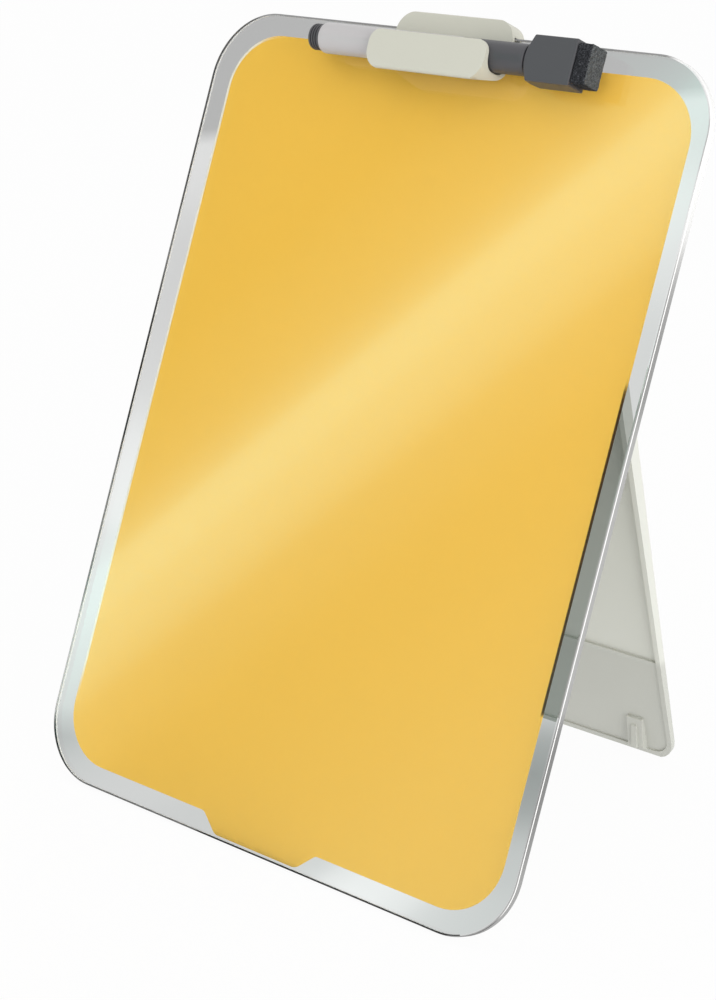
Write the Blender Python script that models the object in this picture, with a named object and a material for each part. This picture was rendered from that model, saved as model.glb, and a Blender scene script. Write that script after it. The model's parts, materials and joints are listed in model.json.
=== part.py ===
"""Desktop glass whiteboard with a fold-out stand, an edge clip and a capped marker.

Lengths are metres and +Z is up. The board leans back on its stand, as it is used:
its glass stands on its lower back edge, and the stand rests on its cut foot.
Three empties carry the frames that the pieces are modelled in:
- board: x across, y into the board from the glass's front face, z up the glass
- stand_hinge: the same directions, turned open about the hinge rod
- marker_axis: the marker's own centre line
"""
import math

import bmesh
import bpy
from mathutils import Matrix, Vector

# Glass
BOARD_WIDTH = 0.216
BOARD_HEIGHT = 0.297
GLASS_THICKNESS = 0.0035
GLASS_CORNER = 0.0255
GLASS_ARRIS = 0.0004
BOARD_LEAN = math.radians(22.7)

# Coloured steel sheet behind the glass, with a tab at the foot of the board
CLEAR_RIM = 0.00775
SHEET_THICKNESS = 0.0006
SHEET_CORNER = 0.021
TAB_TOP_WIDTH = 0.0526
TAB_FOOT_WIDTH = 0.0380
TAB_EDGE_MARGIN = 0.0011
TAB_FOOT_FILLET = 0.0042
TAB_ROOT_FILLET = 0.0030

# Adhesive strips that hold the back cover to the sheet
TAPE_THICKNESS = 0.0006
TAPE_WIDTH = 0.012
TAPE_EDGE_MARGIN = 0.003
TOP_TAPE_LENGTH = 0.150
FOOT_TAPE_LENGTH = 0.096
SIDE_TAPE_LENGTH = 0.200

# Back cover
COVER_INSET = 0.003
COVER_THICKNESS = 0.0024
COVER_CORNER = 0.018
COVER_EDGE_ROUND = 0.0008
LUG_WIDTH = 0.008
LUG_HALF_FOOT = 0.006
LUG_CROWN_ROUND = 0.0030
LUG_INSET = 0.0166

# Stand
STAND_WIDTH = 0.1532
STAND_ROOT_DEPTH = 0.007
STAND_FOOT_DEPTH = 0.0022
STAND_WALL = 0.002
STAND_FLOOR = 0.0016
STAND_CORNER = 0.009
STAND_TOP_CORNER = 0.002
STAND_TOP_BAR = 0.0104
STAND_OPENING = math.radians(39.8)
HINGE_HEIGHT = 0.2285
HEEL_REACH = 0.005
HEEL_TIP_ROUND = 0.0006
CROWN_ROUND = 0.0022
LOWER_ZONE = 0.047
LOWER_RECESS = 0.0007
ROD_RADIUS = 0.0015
ROD_END_INSET = 0.0005

# Catches at the stand's foot: a wedge that rises towards the foot, with a rib on it
CATCH_INSET = 0.0154
CATCH_WIDTH = 0.0069
CATCH_HEIGHT = 0.0157
CATCH_TOP_REACH = 0.0006
CATCH_NOSE_REACH = 0.0023
CATCH_NOSE_RISE = 0.0028
CATCH_ROUND = 0.0005
RIB_WIDTH = 0.0023
RIB_TOP_REACH = 0.0017
RIB_DROP = 0.0020
RIB_RAMP = 0.0012

# Clip over the top edge of the glass
CLIP_WIDTH = 0.0505
CLIP_RISE = 0.0055
CLIP_DROP = 0.0190
CLIP_FRONT_LEG = 0.0014
CLIP_BACK_LEG = 0.0018
CLIP_BACK_REACH = 0.0071
CLIP_TOP_CORNER = 0.0076
CLIP_CREST_ROUND = 0.0018
CLIP_FOOT_CORNER = 0.0080
CHANNEL_WALL = 0.0018
CHANNEL_FLOOR = 0.0046
CHANNEL_RISE = 0.0038
CHANNEL_LIP_ABOVE_AXIS = 0.0038
CHANNEL_CORNER = 0.0045
CHANNEL_INNER_ROUND = 0.0055
CHANNEL_FRONT_ROUND = 0.0012
CHANNEL_REAR_ROUND = 0.0074
CLIP_EDGE_ROUND = 0.0005
GRIP_THICKNESS = 0.0005
GRIP_HEIGHT = 0.0058
GRIP_LENGTH = 0.044

# Marker, from its end plug at the left to the eraser at the right
MARKER_RADIUS = 0.0055
MARKER_LEFT_REACH = 0.0559
PLUG_PROUD = 0.0052
PLUG_RADIUS = 0.0047
PLUG_ROUND = 0.0010
PLUG_STEM = 0.006
BARREL_LENGTH = 0.0605
BARREL_WALL = 0.0016
BARREL_ROUND = 0.0008
NECK_LENGTH = 0.012
NECK_RADIUS = 0.0047
NIB_FLANGE = 0.0015
NIB_SOCKET = 0.007
NIB_CONE = 0.005
NIB_CONE_TIP = 0.0024
NIB_RADIUS = 0.0019
NIB_STEM_RADIUS = 0.0013
NIB_PROUD = 0.0048
NIB_STEM = 0.0125
CAP_RADIUS = 0.0054
CAP_LENGTH = 0.0287
CAP_BORE_DEPTH = 0.0248
CAP_BORE_RADIUS = 0.00485
CAP_MOUTH_ROUND = 0.0004
CAP_STUB_RADIUS = 0.0040
CAP_STUB_LENGTH = 0.007
SEAL_LENGTH = 0.0062
SEAL_BORE_RADIUS = 0.0029

# Eraser on the cap's end
HOLDER_LENGTH = 0.0198
HOLDER_DEPTH = 0.0100
HOLDER_HEIGHT = 0.0158
HOLDER_NECK_RADIUS = 0.0046
HOLDER_CONE = 0.0026
HOLDER_EDGE_ROUND = 0.0004
PAD_LENGTH = 0.0061
PAD_MARGIN = 0.0003
PAD_DEPTH_MARGIN = 0.0001
PAD_HEIGHT_MARGIN = 0.0009

# Clearances
SEAT_GAP = 0.0002
SWING_GAP = 0.0004
FOLD_GAP = 0.0005
STOP_GAP = 0.0003
ROD_CLEARANCE = 0.0001
SHOULDER_GAP = 0.0003
OVERRUN = 0.002
MERGE_DISTANCE = 0.000002

# Facets
CORNER_STEPS = 12
FILLET_STEPS = 5
ROUND_STEPS = 32
BORE_STEPS = 24

# Places that follow from the sizes, in the board's frame
SHEET_FRONT = GLASS_THICKNESS + SEAT_GAP
SHEET_BACK = SHEET_FRONT + SHEET_THICKNESS
TAPE_FRONT = SHEET_BACK + SEAT_GAP
COVER_FRONT = TAPE_FRONT + TAPE_THICKNESS + SEAT_GAP
COVER_BACK = COVER_FRONT + COVER_THICKNESS
HINGE_RADIUS = STAND_ROOT_DEPTH / 2
HINGE_DEPTH = COVER_BACK + FOLD_GAP + HINGE_RADIUS
COVER_LEFT = CLEAR_RIM + COVER_INSET - BOARD_WIDTH / 2
COVER_FOOT = CLEAR_RIM + COVER_INSET
COVER_TOP = BOARD_HEIGHT - COVER_FOOT

# Lugs and catches stand in from the stand's sides
LUG_OFFSET = STAND_WIDTH / 2 - LUG_INSET
CATCH_OFFSET = STAND_WIDTH / 2 - CATCH_INSET

# Folded, a catch's rib stops just short of the sheet
RIB_NOSE_REACH = FOLD_GAP + COVER_BACK - SHEET_BACK - SWING_GAP

# The lean sets how high the board's frame starts, and the stand's foot is cut level
BOARD_LIFT = (GLASS_THICKNESS - GLASS_ARRIS) * math.sin(BOARD_LEAN)
HINGE_RISE = (BOARD_LIFT + HINGE_HEIGHT * math.cos(BOARD_LEAN)
              - HINGE_DEPTH * math.sin(BOARD_LEAN))
STAND_TILT = STAND_OPENING - BOARD_LEAN
STAND_RIM = -HINGE_RADIUS
STAND_FOOT_BACK = STAND_RIM + STAND_FOOT_DEPTH


def stand_foot_at(depth):
    """Height, in the stand's frame, where the level floor cuts it at a depth."""
    return -(HINGE_RISE + depth * math.sin(STAND_TILT)) / math.cos(STAND_TILT)


FOOT_FRONT = stand_foot_at(STAND_RIM)
FOOT_BACK = stand_foot_at(STAND_FOOT_BACK)
CATCH_FOOT = FOOT_FRONT + STAND_WALL / 2
FRONT_Y = GLASS_ARRIS * math.sin(BOARD_LEAN)
BACK_Y = (HINGE_HEIGHT * math.sin(BOARD_LEAN) + HINGE_DEPTH * math.cos(BOARD_LEAN)
          + STAND_FOOT_BACK * math.cos(STAND_TILT) - FOOT_BACK * math.sin(STAND_TILT))

# The marker lies in the clip's channel
CHANNEL_BACK = -SEAT_GAP - CLIP_FRONT_LEG
MARKER_DEPTH = CHANNEL_BACK - SEAT_GAP - MARKER_RADIUS
CHANNEL_FRONT = MARKER_DEPTH - MARKER_RADIUS - SEAT_GAP
CLIP_TOP = BOARD_HEIGHT + CLIP_RISE
CLIP_FOOT = BOARD_HEIGHT - CLIP_DROP
MARKER_HEIGHT = CLIP_FOOT + CHANNEL_FLOOR + SEAT_GAP + MARKER_RADIUS
GRIP_FRONT = GLASS_THICKNESS + SEAT_GAP
CLIP_BACK = GRIP_FRONT + GRIP_THICKNESS + SEAT_GAP

# Stations along the marker
BARREL_START = PLUG_PROUD - MARKER_LEFT_REACH
BARREL_SHOULDER = BARREL_START + BARREL_LENGTH
NECK_END = BARREL_SHOULDER + NECK_LENGTH
NIB_FLANGE_START = NECK_END + SEAT_GAP
NIB_CONE_END = NIB_FLANGE_START + NIB_FLANGE + NIB_CONE
CAP_START = BARREL_SHOULDER + SHOULDER_GAP
CAP_FLOOR = CAP_START + CAP_BORE_DEPTH
CAP_END = CAP_START + CAP_LENGTH
BORE_RADIUS = MARKER_RADIUS - BARREL_WALL
HOLDER_START = CAP_END + SEAT_GAP


def clear_scene():
    for item in list(bpy.data.objects):
        bpy.data.objects.remove(item)


def material(name, colour, roughness, metallic=0.0, alpha=1.0):
    finish = bpy.data.materials.new(name)
    finish.use_nodes = True
    shader = finish.node_tree.nodes["Principled BSDF"]
    shader.inputs["Base Color"].default_value = (*colour, 1.0)
    shader.inputs["Roughness"].default_value = roughness
    shader.inputs["Metallic"].default_value = metallic
    shader.inputs["Alpha"].default_value = alpha
    return finish


def empty(name, parent, location, turn):
    frame = bpy.data.objects.new(name, None)
    bpy.context.collection.objects.link(frame)
    frame.parent = parent
    frame.location = location
    frame.rotation_euler = (turn, 0.0, 0.0)
    return frame


def part(name, mesh, parent, finish=None):
    """Link a mesh as an object. One with no finish is a tool that only cuts or joins."""
    item = bpy.data.objects.new(name, mesh)
    bpy.context.collection.objects.link(item)
    item.parent = parent
    if finish is None:
        item.hide_render = True
        item.display_type = "WIRE"
    else:
        mesh.materials.append(finish)
        mesh.shade_smooth()
        mesh.set_sharp_from_angle(angle=math.radians(30))
    return item


def boolean(item, tool, operation):
    cut = item.modifiers.new(tool.name, "BOOLEAN")
    cut.object = tool
    cut.operation = operation
    cut.solver = "EXACT"


def soften(item, width, segments=2):
    edge = item.modifiers.new("edges", "BEVEL")
    edge.width = width
    edge.segments = segments
    edge.limit_method = "ANGLE"
    edge.angle_limit = math.radians(50)
    edge.harden_normals = False


def filleted(corners, steps):
    """Turn (a, b, radius) corners into an outline whose corners are arcs."""
    outline = []
    for index, (a, b, radius) in enumerate(corners):
        corner = Vector((a, b))
        before = Vector(corners[index - 1][:2]) - corner
        after = Vector(corners[(index + 1) % len(corners)][:2]) - corner
        if radius == 0:
            outline.append(corner)
            continue
        half = before.angle(after) / 2
        run = min(radius / math.tan(half), before.length / 2, after.length / 2)
        round_radius = run * math.tan(half)
        start = corner + before.normalized() * run
        end = corner + after.normalized() * run
        middle = (before.normalized() + after.normalized()).normalized()
        centre = corner + middle * math.hypot(run, round_radius)
        sweep = (start - centre).angle_signed(end - centre)
        for step in range(steps + 1):
            spoke = (start - centre).copy()
            spoke.rotate(Matrix.Rotation(-sweep * step / steps, 2))
            outline.append(centre + spoke)
    return outline


def box_corners(left, right, foot, top, foot_radius, top_radius):
    return [(left, foot, foot_radius), (right, foot, foot_radius),
            (right, top, top_radius), (left, top, top_radius)]


def prism(name, points, offset):
    """Close an outline of 3-D points and extrude it by one offset."""
    shape = bmesh.new()
    face = shape.faces.new([shape.verts.new(point) for point in points])
    grown = bmesh.ops.extrude_face_region(shape, geom=[face])
    moved = [v for v in grown["geom"] if isinstance(v, bmesh.types.BMVert)]
    bmesh.ops.translate(shape, verts=moved, vec=offset)
    bmesh.ops.recalc_face_normals(shape, faces=shape.faces)
    mesh = bpy.data.meshes.new(name)
    shape.to_mesh(mesh)
    shape.free()
    return mesh


def plate(name, outline, front, depth):
    """A flat piece: an (x, z) outline that runs back from a depth."""
    return prism(name, [(a, front, b) for a, b in outline], (0.0, depth, 0.0))


def bar(name, section, left, length):
    """A long piece: a (y, z) section that runs along x."""
    return prism(name, [(left, a, b) for a, b in section], (length, 0.0, 0.0))


def turned(name, profile, steps=ROUND_STEPS):
    """Spin a closed (x, radius) profile about the x axis."""
    shape = bmesh.new()
    points = [shape.verts.new((along, 0.0, radius)) for along, radius in profile]
    sides = zip(points, points[1:] + points[:1])
    edges = [shape.edges.new(side) for side in sides if side[0].co.z or side[1].co.z]
    bmesh.ops.spin(shape, geom=points + edges, cent=(0.0, 0.0, 0.0), axis=(1.0, 0.0, 0.0),
                   angle=math.tau, steps=steps, use_merge=True)
    bmesh.ops.remove_doubles(shape, verts=shape.verts, dist=MERGE_DISTANCE)
    bmesh.ops.recalc_face_normals(shape, faces=shape.faces)
    mesh = bpy.data.meshes.new(name)
    shape.to_mesh(mesh)
    shape.free()
    return mesh


def quarter(along, radius, size, turn, steps=FILLET_STEPS):
    """Points of a quarter round on a turned profile, from one tangent to the next.

    turn 1 rounds a left end, from the end face up to the barrel. turn -1 rounds a
    right end, from the barrel down to the end face.
    """
    points = []
    for step in range(steps + 1):
        swing = math.pi / 2 * step / steps
        if turn < 0:
            points.append((along - size + size * math.sin(swing),
                           radius - size + size * math.cos(swing)))
        else:
            points.append((along + size - size * math.cos(swing),
                           radius - size + size * math.sin(swing)))
    return points


def glass_panel(board, finish):
    half = BOARD_WIDTH / 2
    outline = filleted(box_corners(-half, half, 0.0, BOARD_HEIGHT, GLASS_CORNER, GLASS_CORNER),
                       CORNER_STEPS)
    glass = part("glass_panel", plate("glass_panel", outline, 0.0, GLASS_THICKNESS),
                 board, finish)
    soften(glass, GLASS_ARRIS, 1)


def colour_sheet(board, finish):
    """The sheet stops short of the glass all round, but for a tab at its foot."""
    side = BOARD_WIDTH / 2 - CLEAR_RIM
    top = BOARD_HEIGHT - CLEAR_RIM
    tab_top = TAB_TOP_WIDTH / 2
    tab_foot = TAB_FOOT_WIDTH / 2
    corners = [
        (-side, CLEAR_RIM, SHEET_CORNER),
        (-tab_top, CLEAR_RIM, TAB_ROOT_FILLET),
        (-tab_foot, TAB_EDGE_MARGIN, TAB_FOOT_FILLET),
        (tab_foot, TAB_EDGE_MARGIN, TAB_FOOT_FILLET),
        (tab_top, CLEAR_RIM, TAB_ROOT_FILLET),
        (side, CLEAR_RIM, SHEET_CORNER),
        (side, top, SHEET_CORNER),
        (-side, top, SHEET_CORNER),
    ]
    outline = filleted(corners, CORNER_STEPS)
    part("colour_sheet", plate("colour_sheet", outline, SHEET_FRONT, SHEET_THICKNESS),
         board, finish)


def cover_tapes(board, finish):
    inner = COVER_FOOT + TAPE_EDGE_MARGIN
    side = BOARD_WIDTH / 2 - inner
    middle = BOARD_HEIGHT / 2
    top_half = TOP_TAPE_LENGTH / 2
    foot_half = FOOT_TAPE_LENGTH / 2
    side_half = SIDE_TAPE_LENGTH / 2
    strips = {
        "cover_tape_top": (-top_half, top_half, COVER_TOP - TAPE_EDGE_MARGIN - TAPE_WIDTH,
                           COVER_TOP - TAPE_EDGE_MARGIN),
        "cover_tape_foot": (-foot_half, foot_half, inner, inner + TAPE_WIDTH),
        "cover_tape_left": (-side, TAPE_WIDTH - side, middle - side_half, middle + side_half),
        "cover_tape_right": (side - TAPE_WIDTH, side, middle - side_half, middle + side_half),
    }
    for name, (left, right, foot, top) in strips.items():
        outline = filleted(box_corners(left, right, foot, top, 0, 0), 1)
        part(name, plate(name, outline, TAPE_FRONT, TAPE_THICKNESS), board, finish)


def lug_centres():
    return (-LUG_OFFSET, 0.0, LUG_OFFSET)


def rod_tool(name, parent, depth, height, radius, length):
    """A round bar along x at a depth and height of its parent's frame."""
    half = length / 2
    mesh = turned(name, [(-half, 0.0), (-half, radius), (half, radius), (half, 0.0)], BORE_STEPS)
    tool = part(name, mesh, parent)
    tool.location = (0.0, depth, height)
    return tool


def back_cover(board, finish):
    """A moulded sheet with hinge lugs and two slots that take the stand's catches."""
    outline = filleted(box_corners(COVER_LEFT, -COVER_LEFT, COVER_FOOT, COVER_TOP,
                                   COVER_CORNER, COVER_CORNER), CORNER_STEPS)
    cover = part("back_cover", plate("back_cover", outline, COVER_FRONT, COVER_THICKNESS),
                 board, finish)
    soften(cover, COVER_EDGE_ROUND, 2)

    lug_root = COVER_BACK - COVER_THICKNESS / 2
    lug_crown = HINGE_DEPTH + HINGE_RADIUS
    section = filleted([
        (lug_root, HINGE_HEIGHT - LUG_HALF_FOOT, 0),
        (lug_crown, HINGE_HEIGHT - HINGE_RADIUS, LUG_CROWN_ROUND),
        (lug_crown, HINGE_HEIGHT + HINGE_RADIUS, LUG_CROWN_ROUND),
        (lug_root, HINGE_HEIGHT + LUG_HALF_FOOT, 0),
    ], FILLET_STEPS)
    for index, centre in enumerate(lug_centres()):
        name = f"lug_tool_{index}"
        tool = part(name, bar(name, section, centre - LUG_WIDTH / 2, LUG_WIDTH), board)
        boolean(cover, tool, "UNION")

    bore = rod_tool("lug_bore_tool", board, HINGE_DEPTH, HINGE_HEIGHT,
                    ROD_RADIUS + ROD_CLEARANCE, STAND_WIDTH)
    boolean(cover, bore, "DIFFERENCE")

    # Folded, a catch lies between these heights
    slot_foot = HINGE_HEIGHT + CATCH_FOOT - SWING_GAP
    slot_top = HINGE_HEIGHT + CATCH_FOOT + CATCH_HEIGHT + SWING_GAP
    half = CATCH_WIDTH / 2 + SWING_GAP
    for word, side in (("left", -1), ("right", 1)):
        centre = side * CATCH_OFFSET
        name = f"catch_slot_{word}_tool"
        outline = filleted(box_corners(centre - half, centre + half, slot_foot, slot_top, 0, 0), 1)
        slot = part(name, plate(name, outline, COVER_FRONT - OVERRUN,
                                COVER_THICKNESS + OVERRUN + OVERRUN), board)
        boolean(cover, slot, "DIFFERENCE")


def hinge_rod(board, finish):
    half = STAND_WIDTH / 2 - ROD_END_INSET
    mesh = turned("hinge_rod", [(-half, 0.0), (-half, ROD_RADIUS), (half, ROD_RADIUS),
                                (half, 0.0)], BORE_STEPS)
    rod = part("hinge_rod", mesh, board, finish)
    rod.location = (0.0, HINGE_DEPTH, HINGE_HEIGHT)


def stand_back_at(height):
    """Depth of the stand's tapered back face at a height of its own frame."""
    taper = (STAND_ROOT_DEPTH - STAND_FOOT_DEPTH) / -FOOT_BACK
    return HINGE_RADIUS + height * taper


def stand_section():
    """Side view of the stand: tapered tray, level foot, and a heel that stops it open.

    The heel's flat lies parallel to the back cover when the stand is open.
    """
    reach = HINGE_DEPTH - COVER_BACK - STOP_GAP
    flat = Vector((-math.cos(STAND_OPENING), math.sin(STAND_OPENING)))
    along = Vector((math.sin(STAND_OPENING), math.cos(STAND_OPENING)))
    tip = flat * reach + along * HEEL_REACH
    root = flat * reach + along * ((STAND_RIM - flat.x * reach) / along.x)
    return filleted([
        (STAND_RIM, FOOT_FRONT, 0),
        (STAND_FOOT_BACK, FOOT_BACK, 0),
        (HINGE_RADIUS, 0.0, 0),
        (HINGE_RADIUS, tip.y - HINGE_RADIUS / 2, CROWN_ROUND),
        (tip.x, tip.y, HEEL_TIP_ROUND),
        (root.x, root.y, HEEL_TIP_ROUND),
    ], FILLET_STEPS)


def tray_tool(hinge):
    """The stand's hollow: a deep upper zone, then a step up to a shallow lower one."""
    half = STAND_WIDTH / 2 - STAND_WALL
    top = -STAND_TOP_BAR
    foot = FOOT_FRONT + STAND_WALL
    step = FOOT_FRONT + LOWER_ZONE
    mouth = STAND_RIM - OVERRUN
    section = filleted([
        (mouth, top, 0),
        (mouth, foot, 0),
        (STAND_RIM + LOWER_RECESS, foot, 0),
        (STAND_RIM + LOWER_RECESS, step, 0),
        (stand_back_at(step) - STAND_FLOOR, step, 0),
        (stand_back_at(top) - STAND_FLOOR, top, 0),
    ], 1)
    tray = part("tray_tool", bar("tray_tool", section, -half, half + half), hinge)
    corner = STAND_CORNER - STAND_WALL
    outline = filleted(box_corners(-half, half, foot, top, corner, STAND_TOP_CORNER),
                       FILLET_STEPS)
    shape = part("tray_outline_tool", plate("tray_outline_tool", outline, mouth - OVERRUN,
                                            STAND_ROOT_DEPTH + OVERRUN + OVERRUN), hinge)
    boolean(tray, shape, "INTERSECT")
    return tray


def catch_section():
    """Side view of a catch's wedge, from the rim at its foot up to its low top end."""
    root = STAND_RIM + (LOWER_RECESS + STAND_FOOT_DEPTH) / 2
    top = CATCH_FOOT + CATCH_HEIGHT
    return filleted([
        (root, CATCH_FOOT, 0),
        (STAND_RIM + LOWER_RECESS / 2, CATCH_FOOT, 0),
        (STAND_RIM - CATCH_NOSE_REACH, CATCH_FOOT + CATCH_NOSE_RISE, CATCH_ROUND),
        (STAND_RIM - CATCH_TOP_REACH, top, CATCH_ROUND),
        (root, top, 0),
    ], FILLET_STEPS)


def rib_section():
    """Side view of the rib on a catch's wedge."""
    nose = CATCH_FOOT + CATCH_NOSE_RISE
    top = CATCH_FOOT + CATCH_HEIGHT - RIB_DROP
    return filleted([
        (STAND_RIM, nose, 0),
        (STAND_RIM - RIB_NOSE_REACH, nose, CATCH_ROUND),
        (STAND_RIM - RIB_TOP_REACH, top - RIB_RAMP, CATCH_ROUND),
        (STAND_RIM, top, 0),
    ], FILLET_STEPS)


def stand_panel(hinge, finish):
    half = STAND_WIDTH / 2
    stand = part("stand_panel", bar("stand_panel", stand_section(), -half, STAND_WIDTH),
                 hinge, finish)
    outline = filleted(box_corners(-half, half, FOOT_BACK, STAND_TOP_BAR,
                                   STAND_CORNER, 0), FILLET_STEPS)
    shape = part("stand_outline_tool",
                 plate("stand_outline_tool", outline, STAND_RIM - OVERRUN,
                       STAND_ROOT_DEPTH + OVERRUN + OVERRUN), hinge)
    boolean(stand, shape, "INTERSECT")
    boolean(stand, tray_tool(hinge), "DIFFERENCE")

    # Notches let the cover's lugs through at every angle
    corner = math.hypot(HINGE_DEPTH - COVER_BACK, LUG_HALF_FOOT)
    notch_foot = -corner - SWING_GAP
    notch_half = LUG_WIDTH / 2 + SWING_GAP
    for index, centre in enumerate(lug_centres()):
        name = f"notch_tool_{index}"
        outline = box_corners(centre - notch_half, centre + notch_half, notch_foot,
                              STAND_TOP_BAR, 0, 0)
        notch = part(name, plate(name, filleted(outline, 1), STAND_RIM - OVERRUN,
                                 STAND_ROOT_DEPTH + OVERRUN + OVERRUN), hinge)
        boolean(stand, notch, "DIFFERENCE")
    bore = rod_tool("bar_bore_tool", hinge, 0.0, 0.0, ROD_RADIUS + ROD_CLEARANCE,
                    STAND_WIDTH + OVERRUN)
    boolean(stand, bore, "DIFFERENCE")

    for word, side in (("left", -1), ("right", 1)):
        centre = side * CATCH_OFFSET
        name = f"catch_{word}_tool"
        wedge = part(name, bar(name, catch_section(), centre - CATCH_WIDTH / 2, CATCH_WIDTH),
                     hinge)
        boolean(stand, wedge, "UNION")
        name = f"rib_{word}_tool"
        rib = part(name, bar(name, rib_section(), centre - RIB_WIDTH / 2, RIB_WIDTH), hinge)
        boolean(stand, rib, "UNION")


def clip_body(board, finish):
    """A saddle over the glass's top edge, and a channel in front of it for the marker.

    The channel's underside rises towards the glass, into a wide round.
    """
    half = CLIP_WIDTH / 2
    lip = MARKER_HEIGHT + CHANNEL_LIP_ABOVE_AXIS
    saddle_foot = lip - CHANNEL_CORNER
    seat = BOARD_HEIGHT + SEAT_GAP
    back = CLIP_BACK + CLIP_BACK_LEG
    back_foot = BOARD_HEIGHT - CLIP_BACK_REACH
    saddle_section = filleted([
        (-SEAT_GAP, seat, 0),
        (-SEAT_GAP, saddle_foot, 0),
        (CHANNEL_BACK, saddle_foot, 0),
        (CHANNEL_BACK, CLIP_TOP, CLIP_EDGE_ROUND),
        (back, CLIP_TOP, CLIP_CREST_ROUND),
        (back, back_foot, CLIP_EDGE_ROUND),
        (CLIP_BACK, back_foot, CLIP_EDGE_ROUND),
        (CLIP_BACK, seat, 0),
    ], FILLET_STEPS)
    clip = part("clip_body", bar("clip_body", saddle_section, -half, CLIP_WIDTH), board, finish)
    outline = filleted(box_corners(-half, half, CLIP_FOOT, CLIP_TOP, 0, CLIP_TOP_CORNER),
                       CORNER_STEPS)
    shape = part("clip_outline_tool",
                 plate("clip_outline_tool", outline, CHANNEL_BACK - OVERRUN,
                       back - CHANNEL_BACK + OVERRUN + OVERRUN), board)
    boolean(clip, shape, "INTERSECT")

    floor = CLIP_FOOT + CHANNEL_FLOOR
    front = CHANNEL_FRONT - CHANNEL_WALL
    channel_section = filleted([
        (-SEAT_GAP, floor + CHANNEL_REAR_ROUND, 0),
        (-SEAT_GAP, CLIP_FOOT + CHANNEL_RISE, CHANNEL_REAR_ROUND),
        (front, CLIP_FOOT, CHANNEL_FRONT_ROUND),
        (front, lip, CLIP_EDGE_ROUND),
        (CHANNEL_FRONT, lip, CLIP_EDGE_ROUND),
        (CHANNEL_FRONT, floor, CHANNEL_INNER_ROUND),
        (CHANNEL_BACK, floor, CHANNEL_INNER_ROUND),
        (CHANNEL_BACK, floor + CHANNEL_REAR_ROUND, 0),
    ], FILLET_STEPS)
    channel = part("channel_tool", bar("channel_tool", channel_section, -half, CLIP_WIDTH),
                   board)
    outline = filleted(box_corners(-half, half, CLIP_FOOT, lip, CLIP_FOOT_CORNER,
                                   CHANNEL_CORNER), CORNER_STEPS)
    shape = part("channel_outline_tool",
                 plate("channel_outline_tool", outline, front - OVERRUN, OVERRUN - front),
                 board)
    boolean(channel, shape, "INTERSECT")
    boolean(clip, channel, "UNION")


def clip_grip(board, finish):
    """A rubber strip that the back leg presses on the glass, above the coloured sheet."""
    top = BOARD_HEIGHT - SEAT_GAP
    half = GRIP_LENGTH / 2
    outline = filleted(box_corners(-half, half, top - GRIP_HEIGHT, top, 0, 0), 1)
    part("clip_grip_pad", plate("clip_grip_pad", outline, GRIP_FRONT, GRIP_THICKNESS),
         board, finish)


def marker_body(axis, finishes):
    plastic = finishes["barrel"]
    barrel = ([(BARREL_START, BORE_RADIUS)]
              + quarter(BARREL_START, MARKER_RADIUS, BARREL_ROUND, 1)
              + quarter(BARREL_SHOULDER, MARKER_RADIUS, CAP_MOUTH_ROUND, -1)
              + [(BARREL_SHOULDER, NECK_RADIUS), (NECK_END, NECK_RADIUS),
                 (NECK_END, BORE_RADIUS)])
    part("marker_barrel", turned("marker_barrel", barrel), axis, plastic)

    stem_radius = BORE_RADIUS - SEAT_GAP
    stem_end = BARREL_START + PLUG_STEM
    plug_head_end = BARREL_START - SEAT_GAP
    plug = ([(-MARKER_LEFT_REACH, 0.0)]
            + quarter(-MARKER_LEFT_REACH, PLUG_RADIUS, PLUG_ROUND, 1)
            + [(plug_head_end, PLUG_RADIUS), (plug_head_end, stem_radius),
               (stem_end, stem_radius), (stem_end, 0.0)])
    part("marker_end_plug", turned("marker_end_plug", plug), axis, finishes["cap"])

    socket_start = NIB_FLANGE_START - NIB_SOCKET
    wick_start = stem_end + SHOULDER_GAP
    wick_end = socket_start - SHOULDER_GAP
    wick = [(wick_start, 0.0), (wick_start, stem_radius), (wick_end, stem_radius),
            (wick_end, 0.0)]
    part("ink_reservoir", turned("ink_reservoir", wick, BORE_STEPS), axis, finishes["wick"])

    nib_bore = NIB_STEM_RADIUS + SEAT_GAP
    flange_end = NIB_FLANGE_START + NIB_FLANGE
    holder = [(socket_start, nib_bore), (socket_start, stem_radius),
              (NIB_FLANGE_START, stem_radius), (NIB_FLANGE_START, NECK_RADIUS),
              (flange_end, NECK_RADIUS), (NIB_CONE_END, NIB_CONE_TIP),
              (NIB_CONE_END, nib_bore)]
    part("nib_holder", turned("nib_holder", holder), axis, plastic)

    nib_start = NIB_CONE_END + SEAT_GAP
    nib_end = nib_start + NIB_PROUD
    stem_start = nib_start - NIB_STEM
    nib = ([(stem_start, 0.0), (stem_start, NIB_STEM_RADIUS), (nib_start, NIB_STEM_RADIUS),
            (nib_start, NIB_RADIUS)]
           + quarter(nib_end, NIB_RADIUS, NIB_RADIUS, -1))
    part("marker_nib", turned("marker_nib", nib, BORE_STEPS), axis, finishes["nib"])


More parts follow.
